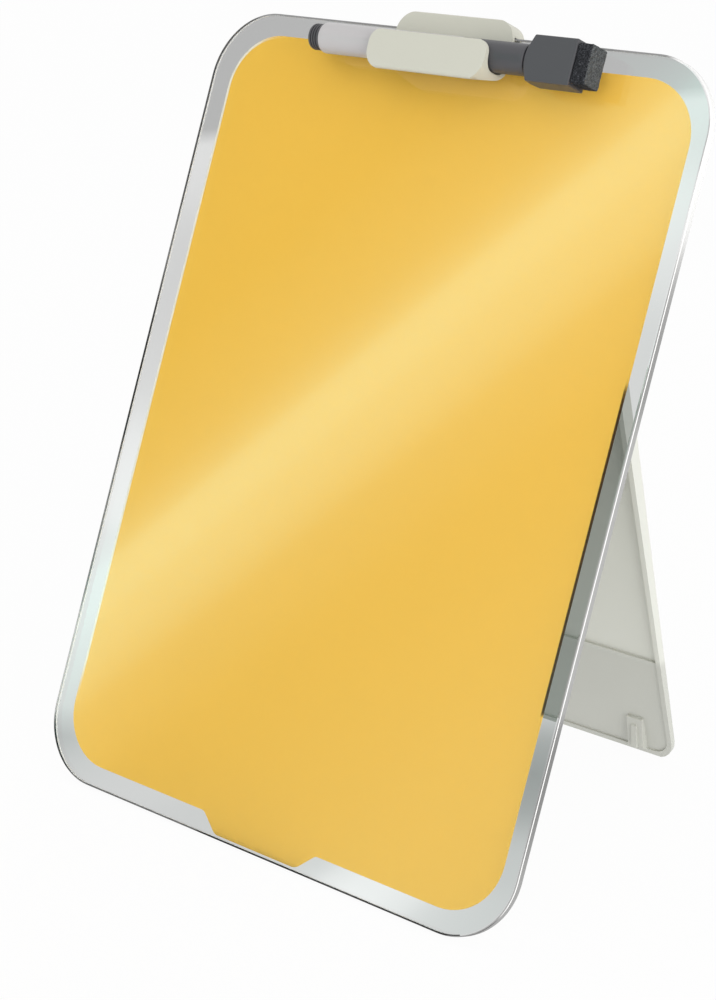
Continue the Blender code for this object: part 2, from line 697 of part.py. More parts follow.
def marker_cap(cap_axis, finishes):
    """The cap and what it carries. Its frame starts at the cap's mouth."""
    plastic = finishes["cap"]
    floor = CAP_FLOOR - CAP_START
    stub_end = CAP_LENGTH + CAP_STUB_LENGTH
    cap = ([(0.0, CAP_BORE_RADIUS)]
           + quarter(0.0, CAP_RADIUS, CAP_MOUTH_ROUND, 1)
           + quarter(CAP_LENGTH, CAP_RADIUS, CAP_MOUTH_ROUND, -1)
           + [(CAP_LENGTH, CAP_STUB_RADIUS), (stub_end, CAP_STUB_RADIUS), (stub_end, 0.0),
              (floor, 0.0), (floor, CAP_BORE_RADIUS)])
    part("marker_cap", turned("marker_cap", cap), cap_axis, plastic)

    seal_end = floor - SEAT_GAP
    seal_start = seal_end - SEAL_LENGTH
    seal_radius = CAP_BORE_RADIUS - SEAT_GAP
    seal = [(seal_start, SEAL_BORE_RADIUS), (seal_start, seal_radius),
            (seal_end, seal_radius), (seal_end, SEAL_BORE_RADIUS)]
    part("cap_seal", turned("cap_seal", seal, BORE_STEPS), cap_axis, finishes["seal"])

    start = HOLDER_START - CAP_START
    half = HOLDER_HEIGHT / 2
    outline = filleted(box_corners(start, start + HOLDER_LENGTH, -half, half, 0, 0), 1)
    holder = part("eraser_holder", plate("eraser_holder", outline, -HOLDER_DEPTH / 2,
                                         HOLDER_DEPTH), cap_axis, plastic)

    # A cone about the marker's axis brings the block down to the cap
    reach = math.hypot(half, HOLDER_DEPTH / 2) + OVERRUN
    slope = (reach - OVERRUN - HOLDER_NECK_RADIUS) / HOLDER_CONE
    cone_end = start + (reach - HOLDER_NECK_RADIUS) / slope
    cone = part("holder_cone_tool", turned("holder_cone_tool", [
        (start, 0.0), (start, HOLDER_NECK_RADIUS), (cone_end, reach),
        (start + HOLDER_LENGTH + OVERRUN, reach), (start + HOLDER_LENGTH + OVERRUN, 0.0)]),
        cap_axis)
    boolean(holder, cone, "INTERSECT")
    soften(holder, HOLDER_EDGE_ROUND, 2)
    socket_radius = CAP_STUB_RADIUS + SEAT_GAP
    socket_end = CAP_STUB_LENGTH + SEAT_GAP + SEAT_GAP
    tool = part("socket_tool", turned("socket_tool", [
        (-OVERRUN, 0.0), (-OVERRUN, socket_radius), (socket_end, socket_radius),
        (socket_end, 0.0)], BORE_STEPS), cap_axis)
    tool.location = (CAP_LENGTH, 0.0, 0.0)
    boolean(holder, tool, "DIFFERENCE")

    pad_start = start + HOLDER_LENGTH + SEAT_GAP
    pad_half = half - PAD_HEIGHT_MARGIN
    pad_depth = HOLDER_DEPTH - PAD_DEPTH_MARGIN - PAD_DEPTH_MARGIN
    outline = filleted(box_corners(pad_start, pad_start + PAD_LENGTH, -pad_half, pad_half,
                                   PAD_MARGIN, PAD_MARGIN), 2)
    part("eraser_pad", plate("eraser_pad", outline, -pad_depth / 2, pad_depth),
         cap_axis, finishes["felt"])


def build():
    clear_scene()
    glass = material("clear glass", (0.90, 0.93, 0.93), 0.03, alpha=0.3)
    yellow = material("yellow enamel", (0.87, 0.52, 0.08), 0.35)
    tape = material("white foam tape", (0.85, 0.85, 0.82), 0.8)
    white = material("warm white plastic", (0.68, 0.69, 0.63), 0.45)
    steel = material("zinc plated steel", (0.62, 0.63, 0.65), 0.3, metallic=1.0)
    rubber = material("clear grey rubber", (0.45, 0.45, 0.44), 0.7)
    grey = material("light grey plastic", (0.52, 0.52, 0.56), 0.35)
    charcoal = material("charcoal plastic", (0.09, 0.09, 0.105), 0.45)
    fibre = material("white fibre", (0.85, 0.84, 0.80), 0.9)
    ink = material("inked felt", (0.03, 0.03, 0.035), 0.8)
    felt = material("black eraser felt", (0.03, 0.03, 0.033), 0.95)

    centre_y = (FRONT_Y + BACK_Y) / 2
    board = empty("board", None, (0.0, -centre_y, BOARD_LIFT), -BOARD_LEAN)
    hinge = empty("stand_hinge", board, (0.0, HINGE_DEPTH, HINGE_HEIGHT), STAND_OPENING)
    marker = empty("marker_axis", board, (0.0, MARKER_DEPTH, MARKER_HEIGHT), 0.0)
    cap = empty("cap_axis", marker, (CAP_START, 0.0, 0.0), 0.0)

    glass_panel(board, glass)
    colour_sheet(board, yellow)
    cover_tapes(board, tape)
    back_cover(board, white)
    hinge_rod(board, steel)
    stand_panel(hinge, white)
    clip_body(board, white)
    clip_grip(board, rubber)
    finishes = {"barrel": grey, "cap": charcoal, "wick": fibre, "nib": ink, "seal": rubber,
                "felt": felt}
    marker_body(marker, finishes)
    marker_cap(cap, finishes)


build()
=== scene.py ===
# %% [markdown]
# # Dressing a desk whiteboard
#
# The object is a glass writing board on a fold-out stand, with a plastic clip on its top
# edge that holds a capped marker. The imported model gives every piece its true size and
# place, so this script only gives them their looks: fine edges, finishes, a studio and a
# camera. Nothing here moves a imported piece. A piece that needs a finer shape gets a new
# mesh that stands in for it and rides on the same body, so it still moves with its joint.

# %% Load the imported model
import json
import math

import bpy
from mathutils import Matrix, Vector


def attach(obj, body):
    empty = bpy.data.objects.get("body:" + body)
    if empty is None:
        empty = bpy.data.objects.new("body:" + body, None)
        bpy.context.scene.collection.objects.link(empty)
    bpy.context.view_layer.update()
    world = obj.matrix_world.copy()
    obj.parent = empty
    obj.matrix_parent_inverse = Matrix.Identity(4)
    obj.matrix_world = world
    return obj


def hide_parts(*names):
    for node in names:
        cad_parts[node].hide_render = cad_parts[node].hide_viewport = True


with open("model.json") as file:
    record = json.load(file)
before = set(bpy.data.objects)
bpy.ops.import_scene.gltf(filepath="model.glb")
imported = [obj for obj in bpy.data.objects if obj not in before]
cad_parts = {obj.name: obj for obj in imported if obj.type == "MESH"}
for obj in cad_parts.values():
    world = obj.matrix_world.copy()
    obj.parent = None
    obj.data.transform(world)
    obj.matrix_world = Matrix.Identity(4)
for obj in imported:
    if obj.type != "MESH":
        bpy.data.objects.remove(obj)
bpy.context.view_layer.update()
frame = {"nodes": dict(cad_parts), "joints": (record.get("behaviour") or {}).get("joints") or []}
print("packed nodes:", len(frame["nodes"]))

# %% [markdown]
# ## The board's own directions
#
# The board leans back, so its height and its thickness run along slanted lines. Shaping a
# leaning thing is awkward. A joiner would build it flat on the bench and lean it
# afterwards, and the same works here: pieces are made upright in "bench" space, with x
# across, y into the board and z up the glass, and one matrix then leans them. The marker's
# joint already lifts it straight up the glass, so its axis gives the slant.

# %% Find the slant and the bench matrix
JOINTS = {joint["name"]: joint for joint in frame["joints"]}
ACROSS = Vector((1.0, 0.0, 0.0))
UP_GLASS = Vector(JOINTS["marker_lift"]["axis"]).normalized()
INTO_GLASS = UP_GLASS.cross(ACROSS)


def reach(node, direction):
    """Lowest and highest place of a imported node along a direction, in metres."""
    places = [vertex.co.dot(direction) for vertex in frame["nodes"][node].data.vertices]
    return min(places), max(places)


GLASS_FRONT = reach("glass_panel", INTO_GLASS)[0]
GLASS_FOOT = reach("glass_panel", UP_GLASS)[0]
LEAN = Matrix((ACROSS, INTO_GLASS, UP_GLASS)).transposed().to_4x4()
BENCH = Matrix.Translation(INTO_GLASS * GLASS_FRONT + UP_GLASS * GLASS_FOOT) @ LEAN


def bench_box(node):
    """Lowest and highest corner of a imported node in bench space."""
    places = [BENCH.inverted() @ vertex.co for vertex in frame["nodes"][node].data.vertices]
    low = Vector([min(place[axis] for place in places) for axis in range(3)])
    high = Vector([max(place[axis] for place in places) for axis in range(3)])
    return low, high


LEAN_DEGREES = math.degrees(UP_GLASS.angle(Vector((0.0, 0.0, 1.0))))
print("board leans", round(LEAN_DEGREES, 1), "degrees")

# %% [markdown]
# ## The camera
#
# The picture looks down a little from the board's right. The lens is long, so upright
# lines stay nearly parallel. The place, the angles and the lens come from fitting the
# glass's outline, whose width and height are known, to the picture.

# %% Place the camera
CAMERA_PLACE = Vector((0.45169, -0.57005, 0.37365))
CAMERA_AZIMUTH = math.radians(39.405)
CAMERA_ELEVATION = math.radians(19.83)
LENS_MM = 76.73
SENSOR_MM = 36.0
BOARD_MIDDLE = BENCH @ Vector((0.0, 0.0, 0.15))

back = Vector((math.sin(CAMERA_AZIMUTH) * math.cos(CAMERA_ELEVATION),
               -math.cos(CAMERA_AZIMUTH) * math.cos(CAMERA_ELEVATION),
               math.sin(CAMERA_ELEVATION)))
lens = bpy.data.cameras.new("camera")
lens.lens = LENS_MM
lens.sensor_fit = "AUTO"
lens.sensor_width = SENSOR_MM
camera = bpy.data.objects.new("camera", lens)
bpy.context.scene.collection.objects.link(camera)
camera.location = CAMERA_PLACE
camera.rotation_euler = (-back).to_track_quat("-Z", "Y").to_euler()
bpy.context.scene.camera = camera
bpy.context.scene.view_settings.view_transform = "Standard"
print("camera", round((CAMERA_PLACE - BOARD_MIDDLE).length, 3), "m away")

# %% [markdown]
# ## The studio
#
# The picture has a plain white ground. It could be a blown-out lamp, but that would
# bleach the object too. Here the world and the floor are white only for the rays that
# come straight from the camera or off a shiny surface, and the light that falls on the
# object is set apart from it at a plain level. Rays that have passed the glass get a third
# shader of their own.

# %% Helpers for nodes


def join(tree, source, target):
    """Link an output to an input, or set the input where the source is a plain value."""
    if isinstance(source, bpy.types.NodeSocket):
        tree.links.new(source, target)
    else:
        target.default_value = source


def new_node(tree, kind, **values):
    """Add a node. A value whose name is an input feeds that input, others set the node."""
    node = tree.nodes.new(kind)
    for name, value in values.items():
        title = name.replace("_", " ").title()
        if title in node.inputs:
            join(tree, value, node.inputs[title])
        else:
            setattr(node, name, value)
    return node


def maths(tree, operation, *values, use_clamp=False):
    """The result of a calculation. Each value is a socket or a number."""
    node = new_node(tree, "ShaderNodeMath", operation=operation, use_clamp=use_clamp)
    for value, target in zip(values, node.inputs):
        join(tree, value, target)
    return node.outputs[0]


# %% Helpers for shaders


def bare_tree(owner):
    """Switch on the nodes of a world or a material, and start with none of them."""
    owner.use_nodes = True
    owner.node_tree.nodes.clear()
    return owner.node_tree


def mix_shaders(tree, factor, first, second):
    """A shader that goes from one to another as a factor goes from 0 to 1."""
    mix = new_node(tree, "ShaderNodeMixShader", fac=factor)
    join(tree, first, mix.inputs[1])
    join(tree, second, mix.inputs[2])
    return mix.outputs[0]


def by_ray(tree, lit, seen, through):
    """Shaders for what is lit by it, what looks at it, and what looks through the glass."""
    path = new_node(tree, "ShaderNodeLightPath").outputs
    looks = maths(tree, "MAXIMUM", path["Is Camera Ray"], path["Is Glossy Ray"])
    first = mix_shaders(tree, looks, lit, seen)
    return mix_shaders(tree, path["Is Transmission Ray"], first, through)


# %% A white world for what looks at it, a plain light for what it falls on
WHITE = (1.0, 1.0, 1.0, 1.0)
AMBIENT = 0.81
FULL_WHITE = 1.0
THROUGH_GLASS = 1.46

world = bpy.data.worlds.new("studio")
bpy.context.scene.world = world
tree = bare_tree(world)
skies = [new_node(tree, "ShaderNodeBackground", color=WHITE, strength=strength).outputs[0]
         for strength in (AMBIENT, FULL_WHITE, THROUGH_GLASS)]
new_node(tree, "ShaderNodeOutputWorld", surface=by_ray(tree, *skies))
print("world ready")

# %% [markdown]
# The clear rim of the board shows the studio behind it in soft greys, paler in some stretches
# and darker in others, with a darker zone far off to the left, painted as the shade of a dark
# screen, whose edge cuts across the rim's top corners. The floor is what the rim looks at, so
# the floor glows with these greys, painted light and shade, for rays that have passed the glass
# alone. One curve sets them by how far back they lie, and a second one takes over close in
# front, along the board's foot. A dim spot behind the right-hand corner is painted shade of the
# stand.

# %% Helpers for tones that change from place to place


def remap(tree, value, source=(0.0, 1.0), target=(0.0, 1.0)):
    """Carry one range over to another. Beyond its ends the value stays what it is there."""
    node = new_node(tree, "ShaderNodeMapRange", clamp=True, value=value, from_min=source[0],
                    from_max=source[1], to_min=target[0], to_max=target[1])
    return node.outputs["Result"]


def curve(tree, value, stops):
    """A value that follows listed stops, each a (place, height) pair."""
    first, last = stops[0][0], stops[-1][0]
    bend = new_node(tree, "ShaderNodeFloatCurve", value=remap(tree, value, (first, last)))
    line = bend.mapping.curves[0]
    line.points[0].location = (0.0, stops[0][1])
    line.points[1].location = (1.0, stops[-1][1])
    for place, height in stops[1:-1]:
        line.points.new((place - first) / (last - first), height)
    for point in line.points:
        point.handle_type = "AUTO_CLAMPED"
    bend.mapping.update()
    return bend.outputs["Value"]


def choose(tree, factor, first, second):
    """A value that goes from one to another as a factor goes from 0 to 1."""
    mix = new_node(tree, "ShaderNodeMix", data_type="FLOAT", factor=factor, a=first, b=second)
    return mix.outputs["Result"]


def object_place(tree):
    """The Object coordinates of what is being shaded."""
    return new_node(tree, "ShaderNodeTexCoord").outputs["Object"]


def axes_of(tree, place):
    """The X, Y and Z of a place."""
    return new_node(tree, "ShaderNodeSeparateXYZ", vector=place).outputs


def vector_maths(tree, operation, *values):
    """The outputs of a calculation with vectors, named Vector and Value."""
    node = new_node(tree, "ShaderNodeVectorMath", operation=operation)
    for value, target in zip(values, node.inputs):
        join(tree, value, target)
    return node.outputs


# %% The painted greys of the floor, as the glass shows them
GREYS_BY_DEPTH = [(-0.10, 0.69), (-0.05, 0.68), (-0.028, 0.70), (0.011, 0.75), (0.056, 0.79),
                  (0.105, 0.82), (0.163, 0.93), (0.325, 0.76), (0.556, 0.715), (0.765, 0.80),
                  (0.90, 0.82), (1.30, 0.71), (1.70, 0.74)]
GREYS_AT_FOOT = [(-0.12, 0.52), (-0.092, 0.66), (-0.066, 0.70), (-0.03, 0.66), (0.02, 0.73),
                 (0.035, 0.90), (0.046, 0.95), (0.06, 0.89), (0.075, 0.73), (0.09, 0.67),
                 (0.12, 0.62)]
FOOT_DEPTH = -0.045
FOOT_BLUR = 0.01
SCREEN_PAINTED_SHADE = 0.52
SCREEN_FACING = Vector((-0.917, 0.399, 0.0))
SCREEN_DISTANCE = 1.24
SCREEN_BLUR = 0.08
FLOOR_PAINTED_SHADE_MIDDLE = Vector((0.042, 0.036, 0.0))
FLOOR_PAINTED_SHADE_BY_DISTANCE = [(0.0, 0.42), (0.03, 0.52), (0.037, 0.58), (0.06, 0.79), (0.08, 0.86),
                   (0.10, 0.94), (0.13, 1.0)]


def floor_painted_greys(tree, place):
    """Painted greys by depth or along the foot, the painted screen shade over them, then the
    stand's painted shade.
    """
    axes = axes_of(tree, place)
    at_foot = remap(tree, axes["Y"], (FOOT_DEPTH + FOOT_BLUR, FOOT_DEPTH - FOOT_BLUR))
    grey = choose(tree, at_foot, curve(tree, axes["Y"], GREYS_BY_DEPTH),
                  curve(tree, axes["X"], GREYS_AT_FOOT))
    away = vector_maths(tree, "DOT_PRODUCT", place, SCREEN_FACING)["Value"]
    behind_screen = remap(tree, away, (SCREEN_DISTANCE, SCREEN_DISTANCE + SCREEN_BLUR))
    grey = choose(tree, behind_screen, grey, SCREEN_PAINTED_SHADE)
    apart = vector_maths(tree, "DISTANCE", place, FLOOR_PAINTED_SHADE_MIDDLE)["Value"]
    return maths(tree, "MULTIPLY", grey, curve(tree, apart, FLOOR_PAINTED_SHADE_BY_DISTANCE))


# %% A pale floor that is white to the camera and keeps a faint shadow
FLOOR_SIZE = 8.0
FLOOR_MATTE = (0.86, 0.86, 0.86, 1.0)
FLOOR_SHADOW_SHARE = 0.05
FLOOR_BOUNCE = 0.88
FLOOR_THROUGH_GLASS = (0.995, 0.990, 0.990, 1.0)


def shining(tree, strength, colour=WHITE):
    """A shader that shines with a colour of its own."""
    return new_node(tree, "ShaderNodeEmission", color=colour, strength=strength).outputs[0]


bpy.ops.object.select_all(action="DESELECT")
bpy.ops.mesh.primitive_plane_add(size=FLOOR_SIZE, location=(0.0, 0.0, 0.0))
floor = bpy.context.active_object
floor.name = "floor"
paper = bpy.data.materials.new("floor_paper")
tree = bare_tree(paper)
matte = new_node(tree, "ShaderNodeBsdfDiffuse", color=FLOOR_MATTE).outputs[0]
seen = mix_shaders(tree, FLOOR_SHADOW_SHARE, shining(tree, FULL_WHITE), matte)
# Rays through the glass see the floor glow with painted light and shade.
through = shining(tree, floor_painted_greys(tree, object_place(tree)), FLOOR_THROUGH_GLASS)
new_node(tree, "ShaderNodeOutputMaterial",
         surface=by_ray(tree, shining(tree, FLOOR_BOUNCE), seen, through))
floor.data.materials.append(paper)
print("floor", FLOOR_SIZE, "m wide")

# %% [markdown]
# ## The lamps
#
# The picture has hardly any shadow on the sheet, only a soft one close under the clip and
# the marker. So most of the light comes evenly from all round, and the main lamp is broad,
# weak and near the camera, where its shadows hide behind the pieces that cast them. The
# right-hand walls of the clip and of the stand are the palest faces in the picture, so a
# second, broad lamp stands at the right and a little in front.

# %% Hang the lamps
KEY_DIRECTION = (0.28 * ACROSS + 0.05 * UP_GLASS - 0.96 * INTO_GLASS).normalized()
KEY_DISTANCE = 3.0
KEY_SIZE = 2.0
KEY_WATTS = 6.0
KEY_COLOUR = (1.0, 1.0, 1.0)
RIGHT_PLACE = Vector((1.6, -0.55, 0.30))
RIGHT_SIZE = 1.1
RIGHT_WATTS = 17.0
RIGHT_COLOUR = (1.0, 0.99, 0.95)


def area_lamp(name, offset, size, watts, colour):
    """A square lamp at an offset from the middle of the board, which it faces."""
    light = bpy.data.lights.new(name, "AREA")
    light.shape = "SQUARE"
    light.size = size
    light.energy = watts
    light.color = colour
    lamp = bpy.data.objects.new(name, light)
    bpy.context.scene.collection.objects.link(lamp)
    lamp.location = BOARD_MIDDLE + offset
    lamp.rotation_euler = (BOARD_MIDDLE - lamp.location).to_track_quat("-Z", "Y").to_euler()
    lamp.visible_glossy = False
    lamp.visible_transmission = False


area_lamp("key_lamp", KEY_DIRECTION * KEY_DISTANCE, KEY_SIZE, KEY_WATTS, KEY_COLOUR)
area_lamp("right_lamp", RIGHT_PLACE, RIGHT_SIZE, RIGHT_WATTS, RIGHT_COLOUR)
print("two lamps")

# %% [markdown]
# ## The card that the glass mirrors
#
# The broad pale streak across the board is a lit card, mirrored in the glass. A flat glass
# maps a flat card that is parallel to it without bending any line, so a straight fold in
# the card's light gives a straight streak. The card is where the camera's mirrored line of
# sight meets it. Shiny surfaces and rays inside the glass see it. It is hidden from the
# camera, throws no shadow and lights no matte surface.

# %% Work out where the mirrored rays meet the card
CARD_DISTANCE = 1.0
CARD_WIDTH = 0.78
CARD_HEIGHT = 1.00
HALF_GLASS_HEIGHT = 0.1485

camera_on_bench = BENCH.inverted() @ CAMERA_PLACE
SPREAD = CARD_DISTANCE / -camera_on_bench.y


def on_card(across, up):
    """Where the camera sees a point of the card, mirrored at a point of the glass."""
    return (across * (1 + SPREAD) - camera_on_bench.x * SPREAD,
            up * (1 + SPREAD) - camera_on_bench.z * SPREAD)


CARD_MIDDLE = on_card(0.0, HALF_GLASS_HEIGHT)
bpy.ops.object.select_all(action="DESELECT")
bpy.ops.mesh.primitive_plane_add(size=1.0, rotation=(math.pi / 2, 0.0, 0.0))
card = bpy.context.active_object
card.name = "mirrored_card"
card.scale = (CARD_WIDTH, CARD_HEIGHT, 1.0)
card.location = (CARD_MIDDLE[0], -CARD_DISTANCE, CARD_MIDDLE[1])
bpy.ops.object.transform_apply(location=True, rotation=True, scale=True)
print("card middle", [round(value, 3) for value in CARD_MIDDLE])

# %% [markdown]
# The light on the card rises slowly to a sharp crest and falls off faster beyond it. Far
# below the crest it rises once more, a little. The stops are distances from the crest as
# they are seen on the glass, in metres. The card's margin, which only other views see
# mirrored, fades out.

# %% Light the card along slanted lines
STREAK_SLOPE = 1.05
STREAK_AT_MIDDLE = 0.175
CARD_CREST = 2.2
CARD_FADE = 0.09
CARD_COLOUR = (0.50, 1.0, 0.84, 1.0)
STREAK = [(-0.27, 0.30), (-0.22, 0.27), (-0.15, 0.15), (-0.105, 0.10), (-0.075, 0.18),
          (-0.055, 0.28), (-0.045, 0.46), (-0.035, 0.63), (-0.025, 0.76), (-0.015, 0.84),
          (0.0, 1.0), (0.015, 0.67), (0.025, 0.42), (0.045, 0.18), (0.075, 0.07), (0.11, 0.0),
          (0.20, 0.0)]


def near_side(tree, place, middle, size):
    """0 on the card, and up to 1 at a pair of its sides."""
    apart = maths(tree, "ABSOLUTE", maths(tree, "SUBTRACT", place, middle))
    return remap(tree, apart, (size / 2 - CARD_FADE, size / 2))


glow = bpy.data.materials.new("card_glow")
tree = bare_tree(glow)
axes = axes_of(tree, object_place(tree))
slant = maths(tree, "MULTIPLY_ADD", axes["X"], -STREAK_SLOPE, axes["Z"])
crest = on_card(0.0, STREAK_AT_MIDDLE)
crest_line = crest[1] - STREAK_SLOPE * crest[0]
stops = [(crest_line + offset * (1 + SPREAD), height) for offset, height in STREAK]
level = maths(tree, "MULTIPLY", curve(tree, slant, stops), CARD_CREST)
margin = maths(tree, "MAXIMUM", near_side(tree, axes["X"], CARD_MIDDLE[0], CARD_WIDTH),
               near_side(tree, axes["Z"], CARD_MIDDLE[1], CARD_HEIGHT))
nothing = new_node(tree, "ShaderNodeBsdfTransparent").outputs[0]
new_node(tree, "ShaderNodeOutputMaterial",
         surface=mix_shaders(tree, margin, shining(tree, level, CARD_COLOUR), nothing))
card.data.materials.append(glow)

card.data.update()
card.matrix_world = BENCH
card.visible_camera = False
card.visible_diffuse = False
card.visible_shadow = False
print("streak crest", round(crest_line, 3), "m on the card")

# %% [markdown]
# ## Shared finishes
#
# Several materials need the same small effects. Each effect is a node group with named
# inputs, so a material only says how coarse and how strong it wants it.

# %% Helpers for groups, patterns and colours


def new_group(name, inputs, outputs):
    """A node group whose inputs are (name, kind, default) and outputs (name, kind)."""
    group = bpy.data.node_groups.new(name, "ShaderNodeTree")
    for title, kind, default in inputs:
        socket = group.interface.new_socket(title, in_out="INPUT", socket_type=kind)
        if default is not None:
            socket.default_value = default
    for title, kind in outputs:
        group.interface.new_socket(title, in_out="OUTPUT", socket_type=kind)
    start = group.nodes.new("NodeGroupInput")
    end = group.nodes.new("NodeGroupOutput")
    return group, start.outputs, end.inputs


def noise(tree, place, scale, detail, **values):
    """A cloudy pattern, from 0 to 1."""
    clouds = new_node(tree, "ShaderNodeTexNoise", vector=place, scale=scale, detail=detail,
                      **values)
    return clouds.outputs["Fac"]


def scaled(tree, colour, amount):
    """A colour made darker or paler."""
    node = new_node(tree, "ShaderNodeVectorMath", operation="SCALE", vector=colour,
                    scale=amount)
    return node.outputs[0]


def mix_colours(tree, factor, first, second):
    """A colour that goes from one to another as a factor goes from 0 to 1."""
    mix = new_node(tree, "ShaderNodeMix", data_type="RGBA")
    for number, value in ((0, factor), (6, first), (7, second)):
        join(tree, value, mix.inputs[number])
    return mix.outputs[2]


# %% Moulded grain: the fine spark-eroded skin of a plastic moulding
FLOW_SCALE = 38.0
GRAIN_SHEEN = 0.10

grain, start, end = new_group(
    "moulded_grain",
    [("Vector", "NodeSocketVector", None), ("Grain Size", "NodeSocketFloat", 0.0004),
     ("Colour", "NodeSocketColor", (0.5, 0.5, 0.5, 1.0)),
     ("Mottle", "NodeSocketFloat", 0.03), ("Roughness", "NodeSocketFloat", 0.45)],
    [("Colour", "NodeSocketColor"), ("Roughness", "NodeSocketFloat"),
     ("Height", "NodeSocketFloat")])
one_over = maths(grain, "DIVIDE", 1.0, start["Grain Size"])
pits = noise(grain, start["Vector"], one_over, detail=3.0)
flow = noise(grain, start["Vector"], FLOW_SCALE, detail=2.0)
swing = remap(grain, flow, target=(-1.0, 1.0))
amount = maths(grain, "MULTIPLY_ADD", swing, start["Mottle"], 1.0)
join(grain, scaled(grain, start["Colour"], amount), end["Colour"])
join(grain, maths(grain, "MULTIPLY_ADD", pits, GRAIN_SHEEN, start["Roughness"]),
     end["Roughness"])
join(grain, pits, end["Height"])
print("group", grain.name)

# %% Pressed fibre: short crossing hairs, for felt and wound fibre
HAIR_ROUGHNESS = 0.7
HAIR_TWIST = 1.2
PALE_THRESHOLD = 0.75
PALE_CONTRAST = 5.0

fibre, start, end = new_group(
    "pressed_fibre",
    [("Vector", "NodeSocketVector", None), ("Hair Size", "NodeSocketFloat", 0.0003),
     ("Dark", "NodeSocketColor", (0.01, 0.01, 0.01, 1.0)),
     ("Pale", "NodeSocketColor", (0.2, 0.2, 0.2, 1.0)),
     ("Pale Share", "NodeSocketFloat", 0.5)],
    [("Colour", "NodeSocketColor"), ("Height", "NodeSocketFloat")])
one_over = maths(fibre, "DIVIDE", 1.0, start["Hair Size"])
hairs = noise(fibre, start["Vector"], one_over, detail=6.0, roughness=HAIR_ROUGHNESS,
              distortion=HAIR_TWIST)
tufts = new_node(fibre, "ShaderNodeTexVoronoi", vector=start["Vector"], scale=one_over)
threshold = maths(fibre, "SUBTRACT", PALE_THRESHOLD, start["Pale Share"])
speck = maths(fibre, "MULTIPLY", maths(fibre, "SUBTRACT", hairs, threshold), PALE_CONTRAST,
              use_clamp=True)
join(fibre, mix_colours(fibre, speck, start["Dark"], start["Pale"]), end["Colour"])
join(fibre, maths(fibre, "MULTIPLY", hairs, tufts.outputs["Distance"]), end["Height"])
print("group", fibre.name)

# %% [markdown]
# ## Materials
#
# Each finish starts as a Principled shader. The patterns read Object coordinates, which
# are real metres here, because every finished piece keeps its place in its mesh.

# %% Helpers for materials


def finish(name):
    """A new material: its tree, its Principled shader and its Object coordinates."""
    made = bpy.data.materials.new(name)
    made.use_nodes = True
    tree = made.node_tree
    return made, tree, tree.nodes["Principled BSDF"], object_place(tree)


def bump(tree, shader, height, strength, distance):
    """Raise the shading by a height, over a real distance in metres."""
    relief = new_node(tree, "ShaderNodeBump", strength=strength, distance=distance,
                      height=height)
    join(tree, relief.outputs["Normal"], shader.inputs["Normal"])


def grained(tree, place, colour, grain_size, mottle, roughness):
    """The outputs of the moulded grain."""
    return new_node(tree, "ShaderNodeGroup", node_tree=grain, vector=place,
                    grain_size=grain_size, colour=(*colour, 1.0), mottle=mottle,
                    roughness=roughness).outputs


# %% The plastics
# Painted shade: plastic seen through the glass is darkened as if in the board's shadow.
PAINTED_SHADE_BEHIND_GLASS = 0.48
GRAIN_BUMP = 0.35
GRAIN_DEPTH = 0.00002
# Painted shade: the stand's foot is darkened below a line across it.
STAND_PAINTED_SHADE = [(0.0, 0.80), (0.043, 0.80), (0.048, 1.0), (0.21, 1.0)]


def moulded(name, colour, roughness, grain_size=0.0005, mottle=0.02, shade_by_height=None):
    """A moulded plastic with painted shade for rays through the glass, and painted shade by
    height where it says so.
    """
    made, tree, shader, place = finish(name)
    # The grain adds its sheen on top, so half of that comes off first.
    skin = grained(tree, place, colour, grain_size, mottle, roughness - GRAIN_SHEEN / 2)
    path = new_node(tree, "ShaderNodeLightPath").outputs
    shade = remap(tree, path["Is Transmission Ray"], target=(1.0, PAINTED_SHADE_BEHIND_GLASS))
    if shade_by_height:
        height = axes_of(tree, place)["Z"]
        shade = maths(tree, "MULTIPLY", shade, curve(tree, height, shade_by_height))
    join(tree, scaled(tree, skin["Colour"], shade), shader.inputs["Base Color"])
    join(tree, skin["Roughness"], shader.inputs["Roughness"])
    bump(tree, shader, skin["Height"], GRAIN_BUMP, GRAIN_DEPTH)
    return made


WHITE_PLASTIC = moulded("warm_white_plastic", (0.605, 0.600, 0.520), roughness=0.42)
# The stand gets a paler copy of the white plastic, painted light for its shaded hollow, with
# painted shade on its foot.
STAND_PAINTED_LIGHT_PLASTIC = moulded("stand_plastic_painted_light_and_shade", (0.665, 0.675, 0.625), roughness=0.42,
                        shade_by_height=STAND_PAINTED_SHADE)
GREY_PLASTIC = moulded("light_grey_plastic", (0.525, 0.51, 0.515), roughness=0.34)
CHARCOAL_PLASTIC = moulded("charcoal_plastic", (0.064, 0.064, 0.071), roughness=0.42)
RUBBER = moulded("grip_rubber", (0.34, 0.34, 0.33), roughness=0.75, grain_size=0.0009,
                 mottle=0.05)
print("plastics ready")

# %% [markdown]
# ## Glass
#
# The panel is clear tempered glass. Light that reaches the coloured sheet behind it would
# be very noisy to trace through a refracting surface, so shadow rays pass straight
# through: a Light Path mix swaps the glass for a transparent shader for them alone.

# %% Clear glass, with the faintest wiping marks
GLASS_COLOUR = (0.985, 0.995, 0.99, 1.0)
GLASS_IOR = 1.5
WIPES_SCALE = 22.0
WIPES_HAZE = 0.006
SHADOW_TINT = (0.97, 0.98, 0.97, 1.0)

